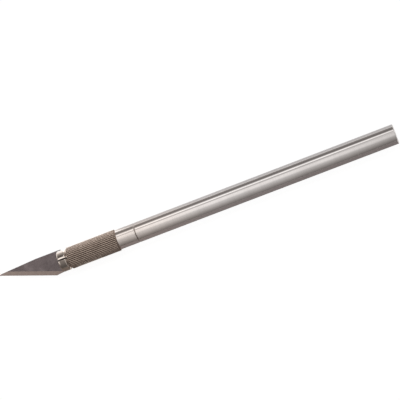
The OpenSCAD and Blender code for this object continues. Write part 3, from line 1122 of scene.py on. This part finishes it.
class SCALPEL_OT_jaws(bpy.types.Operator):
    """Turn the nose, cone and shank, saw out one jaw and copy it to the other three"""

    bl_idname = "scalpel.jaws"
    bl_label = "Collet jaws"

    def execute(self, context):
        sizes = context.scene.scalpel_collet
        nose = JAW_LOW.x
        front = rounded_corner(nose, sizes.nose_radius, sizes.nose_round, NOSE_STEPS)
        piece = start_ring("jaw_top_spine", *front[0], TURNED_POINTS, True)
        extrude_rings(front[1:])
        back = self.back_corner(nose, sizes)
        extrude_rings([
            (front[-1][0] + sizes.support, sizes.nose_radius),
            (back[0][0] - sizes.support, sizes.nose_radius),
        ])
        extrude_rings(back)
        slope = (sizes.cone_radius - sizes.shank_radius) / (sizes.cone_end - sizes.cone_start)
        extrude_rings([
            (back[-1][0] + sizes.support, sizes.cone_radius - sizes.support * slope),
            (nose + sizes.cone_end - sizes.support, sizes.shank_radius + sizes.support * slope),
            (nose + sizes.cone_end, sizes.shank_radius),
            (nose + sizes.cone_end + sizes.support, sizes.shank_radius),
            (JAW_HIGH.x, sizes.shank_radius),
        ])
        slice_off((nose, JAW_LOW.y, AXIS_Z), (0, -1, 0))
        slice_off((nose, 0, JAW_LOW.z), (0, 0, -1))
        close_piece()
        soften_edges(piece, sizes.edge_break, limit=JAW_SOFTEN_LIMIT)
        shade(TURNED_CREASE)
        piece.data.materials.append(polished_plating(context.scene.scalpel_colours))
        jaws = {("top", "spine"): piece}
        for side, row, flip in JAW_FLIPS:
            jaws[side, row] = self.flipped_copy(context, piece, f"jaw_{side}_{row}", flip)
        for (side, row), jaw in jaws.items():
            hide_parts(f"{side}_{row}_jaw")
            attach(jaw, f"jaw_{side}_{row}")
        return {"FINISHED"}

    @staticmethod
    def back_corner(nose, sizes):
        """Stations of the rounding from the nose down to the start of the cone."""
        size = sizes.nose_back_round
        last = math.acos((sizes.cone_radius - sizes.nose_radius + size) / size)
        start = nose + sizes.cone_start - size * math.sin(last)
        top = sizes.nose_radius - size
        turns = [last * step / ROUND_STEPS for step in range(ROUND_STEPS + 1)]
        return [(start + size * math.sin(turn), top + size * math.cos(turn)) for turn in turns]

    @staticmethod
    def flipped_copy(context, piece, name, flip):
        """Copies a jaw with a mesh of its own and flips it across the axis."""
        deselect_all()
        piece.select_set(True)
        context.view_layer.objects.active = piece
        bpy.ops.object.duplicate(linked=False)
        copy = context.object
        copy.name = name
        copy.data.name = name
        bpy.ops.object.mode_set(mode="EDIT")
        bpy.ops.mesh.select_all(action="SELECT")
        bpy.ops.transform.resize(value=flip, center_override=(0, 0, AXIS_Z))
        close_piece()
        return copy


class SCALPEL_OT_blade(bpy.types.Operator):
    """Cut the blade from strip, grind its bevels and punch the slot in its tang"""

    bl_idname = "scalpel.blade"
    bl_label = "Blade"

    def execute(self, context):
        sizes = context.scene.scalpel_blade
        tip_x, tang_x = BLADE_LOW.x, BLADE_HIGH.x
        low_y, high_y = BLADE_LOW.y, BLADE_HIGH.y
        tip_y = high_y - sizes.spine_drop
        shoulder = SLEEVE_LOW.x - sizes.shoulder_gap
        tang_half = sizes.tang_width / 2
        deselect_all()
        bpy.ops.mesh.primitive_cube_add(
            size=1, location=((tip_x + shoulder) / 2, 0, AXIS_Z),
            scale=(shoulder - tip_x, high_y - low_y, BLADE_HALF * 2),
        )
        piece = open_piece("ground_blade")
        # Lean the back edge in, round the shoulder, then draw the tang out of its middle
        relief = sizes.heel_relief
        heel_x = tip_x + (tip_y - low_y) / math.tan(sizes.edge_angle)
        slice_off((heel_x, low_y, AXIS_Z), (math.sin(relief), -math.cos(relief), 0))
        select_parts("EDGE", lambda a, b: min(a.x, b.x) > shoulder - NEAR and abs(a.y - b.y) < NEAR)
        bpy.ops.mesh.bevel(offset=sizes.shoulder_round, segments=ROUND_STEPS)
        for side in (-1, 1):
            score((0, side * tang_half, AXIS_Z), (0, 1, 0))
        select_parts("FACE", lambda middle, normal: normal.x > FACING and abs(middle.y) < tang_half)
        bpy.ops.mesh.extrude_region_move(TRANSFORM_OT_translate={"value": (tang_x - shoulder, 0, 0)})
        # Punch the slot and round its ends
        slot_x = (shoulder + tang_x) / 2
        slot_half, slot_run = sizes.slot_width / 2, sizes.slot_length / 2
        for side in (-1, 1):
            score((slot_x + side * slot_run, 0, AXIS_Z), (1, 0, 0))
            score((0, side * slot_half, AXIS_Z), (0, 1, 0))
        select_parts(
            "FACE", lambda middle, normal: abs(normal.z) > FACING
            and abs(middle.x - slot_x) < slot_run and abs(middle.y) < slot_half
        )
        bpy.ops.mesh.bridge_edge_loops()
        select_parts(
            "EDGE", lambda a, b: abs(a.z - b.z) > NEAR
            and abs(abs(a.x - slot_x) - slot_run) < NEAR and abs(abs(a.y) - slot_half) < NEAR
        )
        bpy.ops.mesh.bevel(offset=slot_half * (1 - sizes.slot_flat), segments=ROUND_STEPS)
        # Cut the spine's fall and the slanted edge, then grind both bevels
        slice_off((tip_x, tip_y, AXIS_Z), (-sizes.spine_drop, sizes.spine_run, 0))
        along = Vector((math.cos(sizes.edge_angle), -math.sin(sizes.edge_angle), 0))
        outward = Vector((-math.sin(sizes.edge_angle), -math.cos(sizes.edge_angle), 0))
        slice_off((tip_x, tip_y, AXIS_Z), outward)
        rise = BLADE_HALF - sizes.edge_land / 2
        for side in (-1, 1):
            normal = along.cross(-outward * sizes.bevel_width + Vector((0, 0, side * rise)))
            slice_off((tip_x, tip_y, AXIS_Z + side * sizes.edge_land / 2), normal * side)
        close_piece()
        bpy.ops.object.mode_set(mode="EDIT")

        def on_spine(co):
            """True behind the sharp tip on the spine's line, or on the first facet of the shoulder."""
            fallen = tip_y + sizes.spine_drop * (co.x - tip_x) / sizes.spine_run
            below = abs(co.y - min(fallen, high_y))
            return below < FIRST_FACET and co.x > tip_x + sizes.sharp_tip

        # Break the edges of the spine, from the tip to the shoulder
        select_parts(
            "EDGE", lambda a, b: on_spine(a) and on_spine(b) and min(a.x, b.x) < shoulder + NEAR
            and abs(abs(a.z - AXIS_Z) - BLADE_HALF) < NEAR and abs(a.z - b.z) < NEAR
        )
        bpy.ops.mesh.bevel(offset=sizes.spine_break, segments=EDGE_STEPS)
        close_piece()
        shade(BLADE_CREASE)
        colours = context.scene.scalpel_colours
        piece.data.materials.append(rolled_steel(colours))
        piece.data.materials.append(ground_steel(colours, sizes.edge_angle))
        ground_slope = math.cos(math.atan2(rise, sizes.bevel_width))
        for face in piece.data.polygons:
            slanted = abs(abs(face.normal.z) - ground_slope) < BEVEL_MATCH
            face.material_index = 1 if slanted else 0
        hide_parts("blade")
        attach(piece, "blade")
        return {"FINISHED"}


class SCALPEL_PT_panel(bpy.types.Panel):
    """Buttons that build the knife"""

    bl_idname = "SCALPEL_PT_panel"
    bl_label = "Craft scalpel"
    bl_space_type = "VIEW_3D"
    bl_region_type = "UI"
    bl_category = "Craft scalpel"

    def draw(self, context):
        for operator in OPERATORS:
            self.layout.operator(operator.bl_idname)


OPERATORS = (
    SCALPEL_OT_stage,
    SCALPEL_OT_barrel,
    SCALPEL_OT_ferrule,
    SCALPEL_OT_sleeve,
    SCALPEL_OT_stem,
    SCALPEL_OT_jaws,
    SCALPEL_OT_blade,
)


def register():
    """Registers the classes and puts the settings on the scene."""
    for name, group in PROPERTY_GROUPS.items():
        bpy.utils.register_class(group)
        setattr(bpy.types.Scene, name, bpy.props.PointerProperty(type=group))
    for operator in OPERATORS:
        bpy.utils.register_class(operator)
    bpy.utils.register_class(SCALPEL_PT_panel)


def unregister():
    """Takes back what register did."""
    bpy.utils.unregister_class(SCALPEL_PT_panel)
    for operator in reversed(OPERATORS):
        bpy.utils.unregister_class(operator)
    for name, group in reversed(PROPERTY_GROUPS.items()):
        delattr(bpy.types.Scene, name)
        bpy.utils.unregister_class(group)


def main():
    """Builds the stage and the knife."""
    register()
    bpy.ops.scalpel.stage()
    bpy.ops.scalpel.barrel()
    bpy.ops.scalpel.ferrule()
    bpy.ops.scalpel.sleeve()
    bpy.ops.scalpel.stem()
    bpy.ops.scalpel.jaws()
    bpy.ops.scalpel.blade()
    deselect_all()


if __name__ == "__main__":
    main()
